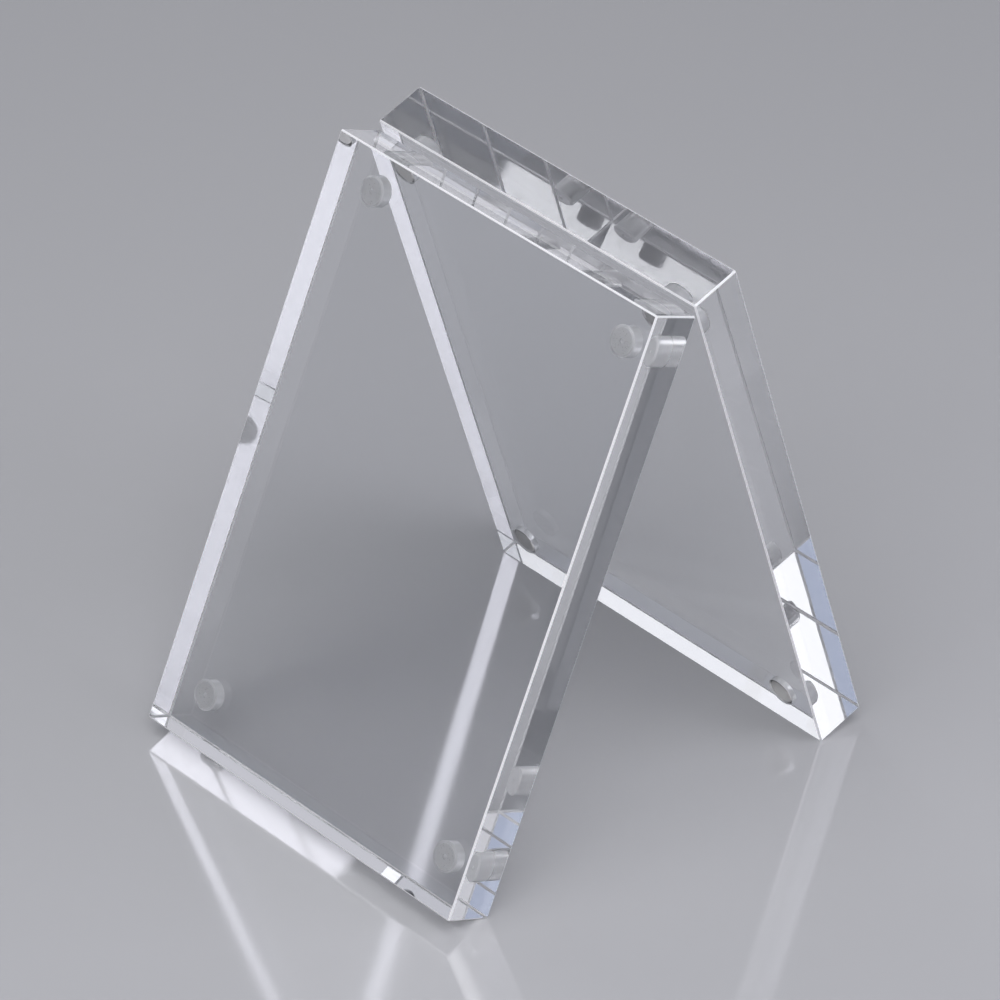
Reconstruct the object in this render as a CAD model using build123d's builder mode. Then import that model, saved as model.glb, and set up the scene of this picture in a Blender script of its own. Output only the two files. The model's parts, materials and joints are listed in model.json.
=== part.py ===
"""Acrylic block frame: two clear blocks with magnets in their corners, leaning together as an A.

Lengths are in millimetres and angles in degrees. The frame stands on Z = 0 with +Z up, the width
of the blocks lies along X, and the front block is on the -Y side. The origin is at the middle of
the footprint.
"""
import os
from math import acos, atan2, cos, degrees, hypot, radians, sin

from build123d import *

# Acrylic blocks: two alike, sawn from sheet, with polished edges
BLOCK_WIDTH = 63.0
BLOCK_HEIGHT = 90.0
BLOCK_THICKNESS = 8.0
EDGE_CHAMFER = 0.3

# Standing pose: the top edge of the front block leans on the inner face of the rear block
FRONT_LEAN = 22.5
SEAT_DROP = 2.0
SEAT_CLEARANCE = 0.1

# Magnets: discs glued into blind pockets in the inner face of each block
MAGNET_DIAMETER = 4.0
MAGNET_LENGTH = 3.0
MAGNET_CHAMFER = 0.2
MAGNET_INSET = 6.5
MAGNET_RECESS = 0.05

# Pockets: flat-bottomed, with a bevelled corner and the mark of the cutter's centre point
POCKET_BEVEL = 0.3
CENTRE_MARK_DIAMETER = 0.8
CENTRE_MARK_DEPTH = 0.3

# Glue: a ring between the side of the magnet and the wall of the pocket
GLUE_WALL = 0.25
GLUE_RECESS = 0.2
GLUE_DIP = 0.1

# Gap between the closed inner faces, where the print lies; it clears the chamfer as the block swings
PRINT_GAP = EDGE_CHAMFER + SEAT_CLEARANCE

POCKET_RADIUS = MAGNET_DIAMETER / 2 + GLUE_WALL
POCKET_DEPTH = MAGNET_LENGTH + MAGNET_RECESS
MAGNET_OFFSET = BLOCK_WIDTH / 2 - MAGNET_INSET

SIDES = {"left": -1, "right": 1}
LEVELS = {"bottom": MAGNET_INSET, "top": BLOCK_HEIGHT - MAGNET_INSET}


def rear_lean_for(pivot_height):
    """Lean of the rear block at which its inner face passes just behind the pivot."""
    along = BLOCK_HEIGHT - SEAT_DROP
    across = EDGE_CHAMFER + PRINT_GAP
    return degrees(acos(pivot_height / hypot(along, across)) - atan2(across, along))


def inner_face(side, lean, foot_y):
    """Plane of a block's inner face: origin at the foot, Y up the block, Z out through the block.

    side is -1 for the front block and 1 for the rear block. The foot is the unbroken lower edge,
    which lies below the floor by as much as the chamfer takes off it.
    """
    angle = radians(lean)
    foot = (0, foot_y, -EDGE_CHAMFER * sin(angle))
    return Plane(origin=foot, x_dir=(-side, 0, 0), z_dir=(0, side * cos(angle), sin(angle)))


# Places of the two blocks, worked out from the pivot where the front block's edge meets the rear block
front_angle = radians(FRONT_LEAN)
pivot_reach = BLOCK_HEIGHT - EDGE_CHAMFER
pivot_z = pivot_reach * cos(front_angle) - EDGE_CHAMFER * sin(front_angle)
rear_lean = rear_lean_for(pivot_z)
rear_angle = radians(rear_lean)
front_foot = -pivot_reach * sin(front_angle)
rear_foot = (BLOCK_HEIGHT - SEAT_DROP) * sin(rear_angle) + PRINT_GAP * cos(rear_angle)
front_end = front_foot + EDGE_CHAMFER * sin(front_angle) - BLOCK_THICKNESS * cos(front_angle)
rear_end = rear_foot - EDGE_CHAMFER * sin(rear_angle) + BLOCK_THICKNESS * cos(rear_angle)
pivot_y = -(front_end + rear_end) / 2

BLOCK_PLANES = {
    "front": inner_face(-1, FRONT_LEAN, front_foot + pivot_y),
    "rear": inner_face(1, rear_lean, rear_foot + pivot_y),
}


def pocket_plane(face, side, level):
    """Section plane through a pocket's axis: X away from the axis, Y into the block."""
    across = side * MAGNET_OFFSET * face.x_dir.X
    centre = face.from_local_coords((across, level, 0))
    return Plane(origin=centre, x_dir=face.x_dir, z_dir=face.x_dir.cross(face.z_dir))


def pocket_planes(face):
    """Each pocket's section plane by its place, seen from the front."""
    planes = {}
    for level_name, level in LEVELS.items():
        for side_name, side in SIDES.items():
            planes[f"{level_name}_{side_name}"] = pocket_plane(face, side, level)
    return planes


def pocket_axis(section):
    return Axis(section.origin, section.y_dir)


def make_block(face):
    """Clear block with a chamfer on every edge and a magnet pocket in each corner of its inner face."""
    with BuildPart() as block:
        with BuildSketch(face):
            Rectangle(BLOCK_WIDTH, BLOCK_HEIGHT, align=(Align.CENTER, Align.MIN))
        extrude(amount=BLOCK_THICKNESS)
        chamfer(block.edges(), EDGE_CHAMFER)
        for section in pocket_planes(face).values():
            with BuildSketch(section):
                with BuildLine():
                    Polyline(
                        (0, 0),
                        (POCKET_RADIUS, 0),
                        (POCKET_RADIUS, POCKET_DEPTH - POCKET_BEVEL),
                        (POCKET_RADIUS - POCKET_BEVEL, POCKET_DEPTH),
                        (CENTRE_MARK_DIAMETER / 2, POCKET_DEPTH),
                        (0, POCKET_DEPTH + CENTRE_MARK_DEPTH),
                        close=True,
                    )
                make_face()
            revolve(axis=pocket_axis(section), mode=Mode.SUBTRACT)
    return block.part


def make_magnet(section):
    """Plated disc magnet with chamfered rims, seated on the floor of its pocket."""
    seat = Plane(origin=section.origin, x_dir=section.x_dir, z_dir=section.y_dir)
    with BuildPart() as magnet:
        with BuildSketch(seat.offset(MAGNET_RECESS)):
            Circle(MAGNET_DIAMETER / 2)
        extrude(amount=MAGNET_LENGTH)
        chamfer(magnet.edges().filter_by(GeomType.CIRCLE), MAGNET_CHAMFER)
    return magnet.part


def make_glue(section):
    """Ring of set glue round a magnet, dished where it dried at the mouth of the pocket."""
    inner = MAGNET_DIAMETER / 2
    mouth = MAGNET_RECESS + GLUE_RECESS
    floor = POCKET_DEPTH - POCKET_BEVEL
    with BuildPart() as glue:
        with BuildSketch(section):
            with BuildLine():
                Polyline(
                    (inner, mouth),
                    (inner, floor),
                    (POCKET_RADIUS, floor),
                    (POCKET_RADIUS, mouth),
                    (inner + GLUE_WALL / 2, mouth + GLUE_DIP),
                    close=True,
                )
            make_face()
        revolve(axis=pocket_axis(section))
    return glue.part


def save(part, name):
    part.label = name
    export_step(part, f"parts/{name}.step")


os.makedirs("parts", exist_ok=True)
for block_name, face in BLOCK_PLANES.items():
    save(make_block(face), f"{block_name}_block")
    for place, section in pocket_planes(face).items():
        save(make_magnet(section), f"{block_name}_magnet_{place}")
        save(make_glue(section), f"{block_name}_glue_{place}")

print(f"rear lean {rear_lean:.3f}, angle between the blocks {FRONT_LEAN + rear_lean:.3f}")
print(f"pivot at y {pivot_y:.4f}, z {pivot_z:.4f}")
for block_name, face in BLOCK_PLANES.items():
    print(f"{block_name} foot at y {face.origin.Y:.4f}, z {face.origin.Z:.4f}")
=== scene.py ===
"""Looks of the acrylic block frame: polished blocks, plated magnets, set glue, floor, light and camera.

Lengths are in metres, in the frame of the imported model: +Z up, the front block on the -Y side. Each
block has a frame of its own: X across it, Y up it and Z out through it, away from its inner face.
Angles are in degrees. Azimuth 0 is the front of the object and 90 its right side.
"""
import json
from math import cos, pi, radians, sin

import bmesh
import bpy
from mathutils import Matrix, Vector


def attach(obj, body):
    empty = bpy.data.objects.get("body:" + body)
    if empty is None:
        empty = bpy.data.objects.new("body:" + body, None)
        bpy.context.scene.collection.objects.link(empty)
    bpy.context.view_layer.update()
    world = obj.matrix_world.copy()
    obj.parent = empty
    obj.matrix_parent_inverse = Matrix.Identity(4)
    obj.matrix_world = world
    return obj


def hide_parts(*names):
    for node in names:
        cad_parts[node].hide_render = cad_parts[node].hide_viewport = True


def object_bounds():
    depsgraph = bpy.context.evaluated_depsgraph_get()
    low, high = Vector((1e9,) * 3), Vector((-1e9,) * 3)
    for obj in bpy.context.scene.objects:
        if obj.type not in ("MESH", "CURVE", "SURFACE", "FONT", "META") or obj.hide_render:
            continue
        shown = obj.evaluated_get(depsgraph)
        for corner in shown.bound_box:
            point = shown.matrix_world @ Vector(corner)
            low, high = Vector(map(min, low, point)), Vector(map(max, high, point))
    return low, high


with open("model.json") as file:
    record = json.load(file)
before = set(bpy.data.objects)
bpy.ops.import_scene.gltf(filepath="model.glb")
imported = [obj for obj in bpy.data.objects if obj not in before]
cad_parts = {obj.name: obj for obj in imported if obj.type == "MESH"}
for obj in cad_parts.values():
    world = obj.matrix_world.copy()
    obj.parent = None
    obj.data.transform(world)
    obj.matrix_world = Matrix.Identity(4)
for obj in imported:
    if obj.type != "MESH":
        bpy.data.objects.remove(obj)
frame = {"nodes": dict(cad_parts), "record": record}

cad_low, cad_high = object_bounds()

MM = 0.001

# Blocks: every edge has a small flat chamfer with soft corners
EDGE_CHAMFER = 0.2 * MM
CHAMFER_SOFTENING = 0.04 * MM
SOFTENING_STEPS = 2

# Pockets: flat-bottomed, with a bevelled corner, rings left by the cutter and a mark at the centre
POCKET_BEVEL = 0.3 * MM
CENTRE_MARK_RADIUS = 0.4 * MM
CENTRE_MARK_DEPTH = 0.3 * MM
TOOL_RING_PITCH = 0.24 * MM
TOOL_RING_DEPTH = 0.03 * MM

# Magnets: plated discs with round rims, a film of air away from the pocket's floor. Their flat ends
# have rings of vertices at these shares of the radius.
MAGNET_RIM = 0.3 * MM
RIM_STEPS = 6
END_RING_SHARES = (0.3, 0.6)
SEAT_FILM = 0.03 * MM

# Glue: an uneven ring, a film of air away from the walls beside it, with so many waves round its top
GLUE_FILM = 0.02 * MM
GLUE_DIP = 0.1 * MM
GLUE_UNEVENNESS = 0.05 * MM
GLUE_WAVES = (2, 5)

# Fineness of round forms, and the angle from which an edge is drawn sharp
TURN_STEPS = 96
SHARP_ANGLE = 40

# Refraction
ACRYLIC_IOR = 1.49
GLUE_IOR = 1.45
FLOOR_IOR = 2.6

# Camera: the photograph's viewing angle
CAMERA_AZIMUTH = 46.344
CAMERA_ELEVATION = 33.641
CAMERA_ROLL = 1.967
CAMERA_DISTANCE = 1.01045
CAMERA_TARGET = Vector((-0.105, -2.348, 39.678)) * MM
CAMERA_LENS = 262.94

# Lamps: each stands where a bright band in the acrylic looks. Those that aren't mirrored leave no image
# of themselves on the floor and the outer faces.
SOFTBOXES = {
    # Bands along the left edges of both blocks, which see it in the floor
    "right_back": dict(azimuth=123, elevation=33, distance=0.6, width=0.46, height=0.24,
                       level=2.4, colour=(0.92, 0.91, 1.0)),
    # Lower left corner of the front block
    "right_low": dict(azimuth=136, elevation=2, distance=0.7, width=0.3, height=0.08,
                      level=1.1, colour=(0.95, 0.95, 1.0), mirrored=False),
    # Lower left corner of the rear block, and the sides of the magnets
    "right": dict(azimuth=86, elevation=42, distance=0.7, width=0.45, height=0.45,
                  level=0.7, colour=(0.93, 0.94, 1.0)),
    # Lower band and right foot of the rear block
    "left": dict(azimuth=-97, elevation=50, distance=0.6, width=0.17, height=0.36,
                 level=0.95, colour=(0.97, 0.97, 1.0), mirrored=False),
    # Lower band and right foot of the front block
    "left_back": dict(azimuth=-138, elevation=4, distance=0.7, width=0.6, height=0.3,
                      level=0.48, colour=(0.95, 0.94, 1.0), mirrored=False),
    # Top end of the front block
    "front": dict(azimuth=17, elevation=14, distance=0.7, width=0.9, height=0.45,
                  level=0.6, colour=(0.96, 0.95, 1.0), mirrored=False),
    # Blue tinge in the outer half of both right feet
    "front_left": dict(azimuth=-45, elevation=37.5, distance=0.8, width=0.1, height=0.25,
                       level=0.4, colour=(0.62, 0.72, 1.0)),
    # Main light
    "top": dict(azimuth=25, elevation=62, distance=0.8, width=0.8, height=0.7,
                level=2.7, colour=(0.97, 0.97, 1.0)),
}
WORLD_COLOUR = (0.85, 0.89, 1.0, 1)
WORLD_LEVEL = 0.14
FLOOR_REACH = 3.0

# Name under which each piece keeps its vertices' places in its own frame, in millimetres
OWN_PLACE = "own_place"

BODIES = ("front", "rear")
PLACES = ("bottom_left", "bottom_right", "top_left", "top_right")


# Frames of the blocks and of their pockets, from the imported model
def block_axes(body):
    """Rotation from the model's frame to a block's own, from the direction of its outer face."""
    name = f"{body}_outer_face"
    mount = next(m for m in frame["record"]["mounts"] if m["name"] == name)
    outward = Vector(mount["axis"]).normalized()
    across = Vector((1 if outward.y < 0 else -1, 0, 0))
    return Matrix((across, outward.cross(across), outward))


def local_box(node, axes):
    """Lowest and highest corner of a CAD node in a turned frame."""
    points = [axes @ vertex.co for vertex in frame["nodes"][node].data.vertices]
    low = Vector([min(point[i] for point in points) for i in range(3)])
    high = Vector([max(point[i] for point in points) for i in range(3)])
    return low, high


def place_matrix(axes, local_origin):
    """Matrix from a piece's own frame to the model's."""
    return Matrix.Translation(axes.transposed() @ local_origin) @ axes.transposed().to_4x4()


# Mesh building
def spin(mesh, profile, centre=(0, 0), closed=False, material=0):
    """Turns a profile of (radius, depth) points about an axis along Z. Returns its rings of vertices."""
    rings = []
    for radius, depth in profile:
        if radius == 0:
            rings.append([mesh.verts.new((centre[0], centre[1], depth))])
            continue
        ring = []
        for step in range(TURN_STEPS):
            angle = 2 * pi * step / TURN_STEPS
            x = centre[0] + radius * cos(angle)
            y = centre[1] + radius * sin(angle)
            ring.append(mesh.verts.new((x, y, depth)))
        rings.append(ring)
    pairs = list(zip(rings, rings[1:]))
    if closed:
        pairs.append((rings[-1], rings[0]))
    for first, second in pairs:
        for step in range(TURN_STEPS):
            following = (step + 1) % TURN_STEPS
            if len(second) == 1:
                corners = (first[step], first[following], second[0])
            elif len(first) == 1:
                corners = (first[0], second[following], second[step])
            else:
                corners = (first[step], first[following], second[following], second[step])
            mesh.faces.new(corners).material_index = material
    return rings


def ring_edges(mesh, ring):
    return [mesh.edges.get((ring[i - 1], ring[i])) for i in range(len(ring))]


def finish_normals(mesh):
    """Turns every face outward and shades it smooth, with creases where faces meet sharply."""
    bmesh.ops.recalc_face_normals(mesh, faces=mesh.faces)
    for face in mesh.faces:
        face.smooth = True
    for edge in mesh.edges:
        edge.smooth = edge.calc_face_angle(0) < radians(SHARP_ANGLE)


def add_piece(name, mesh, matrix, materials, body, node):
    """Links a finished mesh as the piece that stands for a CAD node."""
    data = bpy.data.meshes.new(name)
    mesh.to_mesh(data)
    own_place = data.attributes.new(OWN_PLACE, "FLOAT_VECTOR", "POINT")
    for vertex in mesh.verts:
        own_place.data[vertex.index].vector = vertex.co / MM
    mesh.free()
    data.transform(matrix)
    for material in materials:
        data.materials.append(material)
    piece = bpy.data.objects.new(name, data)
    bpy.context.scene.collection.objects.link(piece)
    weighted = piece.modifiers.new("flat_faces", "WEIGHTED_NORMAL")
    weighted.keep_sharp = True
    weighted.weight = 100
    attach(piece, body)
    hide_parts(node)


# Blocks, with the places of their materials in the list. A face counts as square to an axis where its
# normal's part along that axis is above the limit.
FACE, CUT, EDGE, WALL, SEAT = range(5)
SQUARE = 0.99
SEAT_SQUARE = 0.75


def pocket_profile(radius, depth):
    """Wall, bevel, ringed floor and centre mark of a pocket, from its mouth inwards."""
    profile = [(radius, 0), (radius, depth / 2), (radius, depth - POCKET_BEVEL)]
    floor_radius = radius - POCKET_BEVEL
    profile.append((floor_radius, depth))
    rings = round((floor_radius - CENTRE_MARK_RADIUS) / TOOL_RING_PITCH)
    pitch = (floor_radius - CENTRE_MARK_RADIUS) / rings
    for ring in range(rings):
        outer = floor_radius - ring * pitch
        profile.append((outer - pitch / 2, depth + TOOL_RING_DEPTH))
        profile.append((outer - pitch, depth))
    profile.append((0, depth + CENTRE_MARK_DEPTH))
    return profile


def chamfered_box(size):
    """Box with its inner face on Z = 0 and its foot on Y = 0, every edge chamfered and softened."""
    mesh = bmesh.new()
    bmesh.ops.create_cube(mesh, size=1)
    for vertex in mesh.verts:
        vertex.co.x *= size.x
        vertex.co.y = (vertex.co.y + 0.5) * size.y
        vertex.co.z = (vertex.co.z + 0.5) * size.z
    for width, steps in ((EDGE_CHAMFER, 1), (CHAMFER_SOFTENING, SOFTENING_STEPS)):
        bmesh.ops.bevel(mesh, geom=mesh.edges[:], affect="EDGES",
                        offset=width, segments=steps, profile=0.5)
    return mesh


def build_block(body, materials):
    """Clear block with four pockets cut in its inner face."""
    axes = block_axes(body)
    low, high = local_box(f"{body}_block", axes)
    origin = Vector(((low.x + high.x) / 2, low.y, low.z))
    mesh = chamfered_box(high - low)
    for face in mesh.faces:
        across, along, through = (abs(part) > SQUARE for part in face.normal)
        face.material_index = FACE if through else CUT if across or along else EDGE
    inner = min(mesh.faces, key=lambda face: face.normal.z)
    outline = list(inner.edges)
    bmesh.ops.delete(mesh, geom=[inner], context="FACES_ONLY")
    mouths = []
    for place in PLACES:
        magnet_low, magnet_high = local_box(f"{body}_magnet_{place}", axes)
        glue_low, glue_high = local_box(f"{body}_glue_{place}", axes)
        centre = (magnet_low + magnet_high) / 2 - origin
        radius = (glue_high.x - glue_low.x) / 2
        rings = spin(mesh, pocket_profile(radius, magnet_high.z - low.z), centre.xy, material=WALL)
        mouths += ring_edges(mesh, rings[0])
    filled = bmesh.ops.triangle_fill(mesh, use_beauty=True, edges=outline + mouths, normal=(0, 0, -1))
    for item in filled["geom"]:
        if isinstance(item, bmesh.types.BMFace):
            item.material_index = FACE
    finish_normals(mesh)
    for face in mesh.faces:
        if face.material_index == WALL and abs(face.normal.z) > SEAT_SQUARE:
            face.material_index = SEAT
    matrix = place_matrix(axes, origin)
    add_piece(f"{body}_clear_block", mesh, matrix, materials, body, f"{body}_block")


# Magnets and glue
def rim(radius, depth, inward):
    """Quarter round at the rim of a disc, from its end to its side. inward is the sign of the way in."""
    points = []
    for step in range(RIM_STEPS + 1):
        angle = pi / 2 * step / RIM_STEPS
        across = radius - MAGNET_RIM * (1 - sin(angle))
        points.append((across, depth + inward * MAGNET_RIM * (1 - cos(angle))))
    return points


def magnet_profile(radius, length):
    """Disc from the middle of its outer end to the middle of its inner end."""
    ends = [share * radius for share in END_RING_SHARES]
    profile = [(0, 0)] + [(r, 0) for r in ends] + rim(radius, 0, 1)
    profile += rim(radius, length, -1)[::-1] + [(r, length) for r in ends[::-1]] + [(0, length)]
    return profile


def build_magnet(body, place, material):
    """Plated disc in its pocket."""
    axes = block_axes(body)
    node = f"{body}_magnet_{place}"
    low, high = local_box(node, axes)
    origin = Vector(((low.x + high.x) / 2, (low.y + high.y) / 2, low.z))
    mesh = bmesh.new()
    spin(mesh, magnet_profile((high.x - low.x) / 2, high.z - low.z - SEAT_FILM))
    finish_normals(mesh)
    name = f"{body}_disc_magnet_{place}"
    add_piece(name, mesh, place_matrix(axes, origin), [material], body, node)


def build_glue(body, place, material):
    """Ring of glue with a dished, uneven top where it dried. Its waves only dip below the mouth."""
    axes = block_axes(body)
    node = f"{body}_glue_{place}"
    low, high = local_box(node, axes)
    magnet_low, magnet_high = local_box(f"{body}_magnet_{place}", axes)
    origin = Vector(((low.x + high.x) / 2, (low.y + high.y) / 2, low.z))
    inner = (magnet_high.x - magnet_low.x) / 2 + GLUE_FILM
    outer = (high.x - low.x) / 2 - GLUE_FILM
    length = high.z - low.z
    top = [(inner, 0), ((inner + outer) / 2, GLUE_DIP), (outer, 0)]
    sides = [(outer, length / 2), (outer, length), (inner, length), (inner, length / 2)]
    mesh = bmesh.new()
    rings = spin(mesh, top + sides, closed=True)
    turn = len(node)
    few, many = GLUE_WAVES
    for ring in rings[:len(top)]:
        for step, vertex in enumerate(ring):
            angle = 2 * pi * step / TURN_STEPS
            rise = 2 + sin(few * angle + turn) + sin(many * angle + 2 * turn)
            vertex.co.z += GLUE_UNEVENNESS * rise
    finish_normals(mesh)
    name = f"{body}_glue_ring_{place}"
    add_piece(name, mesh, place_matrix(axes, origin), [material], body, node)


# Parts of materials
def new_material(name):
    material = bpy.data.materials.new(name)
    material.use_nodes = True
    return material, material.node_tree, material.node_tree.nodes["Principled BSDF"]


def add_node(tree, kind, **values):
    """New node; each value goes to the input of that name, with spaces written as underscores."""
    made = tree.nodes.new(kind)
    for name, value in values.items():
        made.inputs[name.replace("_", " ")].default_value = value
    return made


def millimetres(tree, stretch=(1, 1, 1), turn=0):
    """Coordinates on the piece in millimetres, turned about Z and stretched."""
    source = tree.nodes.new("ShaderNodeAttribute")
    source.attribute_name = OWN_PLACE
    mapping = add_node(tree, "ShaderNodeMapping", Rotation=(0, 0, radians(turn)), Scale=stretch)
    tree.links.new(source.outputs["Vector"], mapping.inputs["Vector"])
    return mapping.outputs["Vector"]


def noise(tree, vector, scale, detail):
    """Clouds of a pattern between 0 and 1."""
    texture = add_node(tree, "ShaderNodeTexNoise", Scale=scale, Detail=detail)
    tree.links.new(vector, texture.inputs["Vector"])
    return texture.outputs["Fac"]


def mapped(tree, pattern, between, to):
    """Pattern stretched from one range of values to another."""
    low, high = between
    to_low, to_high = to
    ranged = add_node(tree, "ShaderNodeMapRange",
                      From_Min=low, From_Max=high, To_Min=to_low, To_Max=to_high)
    tree.links.new(pattern, ranged.inputs["Value"])
    return ranged.outputs["Result"]


def add_roughness(tree, shader, pattern, between, to):
    tree.links.new(mapped(tree, pattern, between, to), shader.inputs["Roughness"])


def add_bump(tree, shader, height, depth, strength):
    bump = add_node(tree, "ShaderNodeBump", Strength=strength, Distance=depth)
    tree.links.new(height, bump.inputs["Height"])
    tree.links.new(bump.outputs["Normal"], shader.inputs["Normal"])


def set_acrylic(shader, clearness=1.0):
    """Nearly colourless acrylic; what isn't clear is milky."""
    shader.inputs["Base Color"].default_value = (0.985, 0.99, 1.0, 1)
    shader.inputs["Transmission Weight"].default_value = clearness
    shader.inputs["IOR"].default_value = ACRYLIC_IOR


# Materials
def polished_acrylic():
    """Cast faces: glass-smooth, with faint smears and hairline scratches."""
    material, tree, shader = new_material("polished_acrylic")
    set_acrylic(shader)
    smears = noise(tree, millimetres(tree), scale=0.09, detail=3)
    add_roughness(tree, shader, smears, between=(0.5, 0.75), to=(0.004, 0.03))
    streaks = noise(tree, millimetres(tree, stretch=(0.05, 2.5, 1), turn=24), scale=1, detail=3)
    hairlines = mapped(tree, streaks, between=(0.66, 0.72), to=(0, 1))
    add_bump(tree, shader, hairlines, depth=0.002 * MM, strength=0.3)
    return material


def cut_acrylic():
    """Sawn and polished edges: faint lines along the cut, a little less clear than the faces."""
    material, tree, shader = new_material("cut_acrylic")
    set_acrylic(shader)
    grain = noise(tree, millimetres(tree, stretch=(0.08, 0.08, 2)), scale=1, detail=2)
    add_roughness(tree, shader, grain, between=(0.45, 0.7), to=(0.004, 0.02))
    add_bump(tree, shader, grain, depth=0.0005 * MM, strength=0.2)
    return material


def scraped_acrylic():
    """Chamfers scraped by hand: white matt lines that catch the light."""
    material, tree, shader = new_material("scraped_acrylic")
    set_acrylic(shader, clearness=0.05)
    chatter = noise(tree, millimetres(tree), scale=3, detail=4)
    add_roughness(tree, shader, chatter, between=(0.3, 0.7), to=(0.25, 0.45))
    add_bump(tree, shader, chatter, depth=0.002 * MM, strength=0.2)
    return material


def drilled_acrylic():
    """Wall and bevel of a pocket: satin and milky, left by the side of the cutter."""
    material, tree, shader = new_material("drilled_acrylic")
    set_acrylic(shader, clearness=0.25)
    sheen = noise(tree, millimetres(tree), scale=0.5, detail=1)
    add_roughness(tree, shader, sheen, between=(0.3, 0.7), to=(0.12, 0.2))
    add_bump(tree, shader, sheen, depth=0.002 * MM, strength=0.3)
    return material


def milled_acrylic():
    """Floor of a pocket: left matt and milky by the cutter's end."""
    material, tree, shader = new_material("milled_acrylic")
    set_acrylic(shader, clearness=0.3)
    grain = noise(tree, millimetres(tree), scale=6, detail=4)
    add_roughness(tree, shader, grain, between=(0.3, 0.7), to=(0.25, 0.45))
    add_bump(tree, shader, grain, depth=0.01 * MM, strength=0.5)
    return material


def nickel_plate():
    """Bright nickel plating with fine wear and faint waviness."""
    material, tree, shader = new_material("nickel_plate")
    shader.inputs["Base Color"].default_value = (0.66, 0.65, 0.63, 1)
    shader.inputs["Metallic"].default_value = 1.0
    wear = noise(tree, millimetres(tree), scale=1.4, detail=5)
    add_roughness(tree, shader, wear, between=(0.3, 0.75), to=(0.06, 0.18))
    add_bump(tree, shader, wear, depth=0.004 * MM, strength=0.3)
    return material


def set_glue():
    """Set glue, nearly clear, a little milky and uneven."""
    material, tree, shader = new_material("set_glue")
    shader.inputs["Base Color"].default_value = (0.88, 0.89, 0.9, 1)
    shader.inputs["Transmission Weight"].default_value = 0.85
    shader.inputs["IOR"].default_value = GLUE_IOR
    cloud = noise(tree, millimetres(tree), scale=2, detail=3)
    add_roughness(tree, shader, cloud, between=(0.3, 0.7), to=(0.08, 0.2))
    add_bump(tree, shader, cloud, depth=0.01 * MM, strength=0.3)
    return material


def floor_paint():
    """Pale grey floor, glossy enough to mirror what stands on it."""
    material, tree, shader = new_material("floor_paint")
    shader.inputs["Base Color"].default_value = (0.62, 0.62, 0.63, 1)
    shader.inputs["IOR"].default_value = FLOOR_IOR
    source = tree.nodes.new("ShaderNodeTexCoord")
    cloud = noise(tree, source.outputs["Object"], scale=12, detail=3)
    add_roughness(tree, shader, cloud, between=(0.3, 0.7), to=(0.07, 0.09))
    return material


# Stage, light and camera
def add_floor():
    corners = [(-1, -1), (1, -1), (1, 1), (-1, 1)]
    data = bpy.data.meshes.new("floor")
    data.from_pydata([(x * FLOOR_REACH, y * FLOOR_REACH, cad_low.z) for x, y in corners], [], [range(4)])
    data.materials.append(floor_paint())
    floor = bpy.data.objects.new("floor", data)
    bpy.context.scene.collection.objects.link(floor)


def direction(azimuth, elevation):
    """Unit vector towards a place round the object."""
    a, e = radians(azimuth), radians(elevation)
    return Vector((sin(a) * cos(e), -cos(a) * cos(e), sin(e)))


def add_softbox(name, azimuth, elevation, distance, width, height, level, colour, mirrored=True):
    """Rectangular lamp that faces the middle of the object; level is about how bright it looks."""
    lamp = bpy.data.lights.new(name, "AREA")
    lamp.shape = "RECTANGLE"
    lamp.size = width
    lamp.size_y = height
    lamp.energy = level * pi * width * height
    lamp.color = colour
    softbox = bpy.data.objects.new(name, lamp)
    bpy.context.scene.collection.objects.link(softbox)
    middle = (cad_low + cad_high) / 2
    towards = direction(azimuth, elevation)
    softbox.location = middle + towards * distance
    softbox.rotation_euler = towards.to_track_quat("Z", "Y").to_euler()
    softbox.visible_glossy = mirrored


def add_world():
    world = bpy.data.worlds.new("studio")
    world.use_nodes = True
    background = world.node_tree.nodes["Background"]
    background.inputs["Color"].default_value = WORLD_COLOUR
    background.inputs["Strength"].default_value = WORLD_LEVEL
    bpy.context.scene.world = world


def add_camera():
    azimuth = radians(CAMERA_AZIMUTH)
    roll = radians(CAMERA_ROLL)
    back = direction(CAMERA_AZIMUTH, CAMERA_ELEVATION)
    level = Vector((cos(azimuth), sin(azimuth), 0))
    upright = back.cross(level)
    right = level * cos(roll) + upright * sin(roll)
    up = upright * cos(roll) - level * sin(roll)
    data = bpy.data.cameras.new("camera")
    data.lens = CAMERA_LENS
    camera = bpy.data.objects.new("camera", data)
    bpy.context.scene.collection.objects.link(camera)
    turned = Matrix((right, up, back)).transposed().to_4x4()
    camera.matrix_world = Matrix.Translation(CAMERA_TARGET + back * CAMERA_DISTANCE) @ turned
    bpy.context.scene.camera = camera


def set_light_paths():
    """Enough bounces for light that is reflected many times inside the blocks."""
    cycles = bpy.context.scene.cycles
    cycles.sampling_pattern = "TABULATED_SOBOL"
    cycles.max_bounces = 32
    cycles.glossy_bounces = 24
    cycles.transmission_bounces = 24


acrylic = [polished_acrylic(), cut_acrylic(), scraped_acrylic(), drilled_acrylic(), milled_acrylic()]
nickel = nickel_plate()
glue = set_glue()
for body in BODIES:
    build_block(body, acrylic)
    for place in PLACES:
        build_magnet(body, place, nickel)
        build_glue(body, place, glue)

add_floor()
for name, values in SOFTBOXES.items():
    add_softbox(name, **values)
add_world()
add_camera()
set_light_paths()
bpy.context.scene.view_settings.view_transform = "Standard"
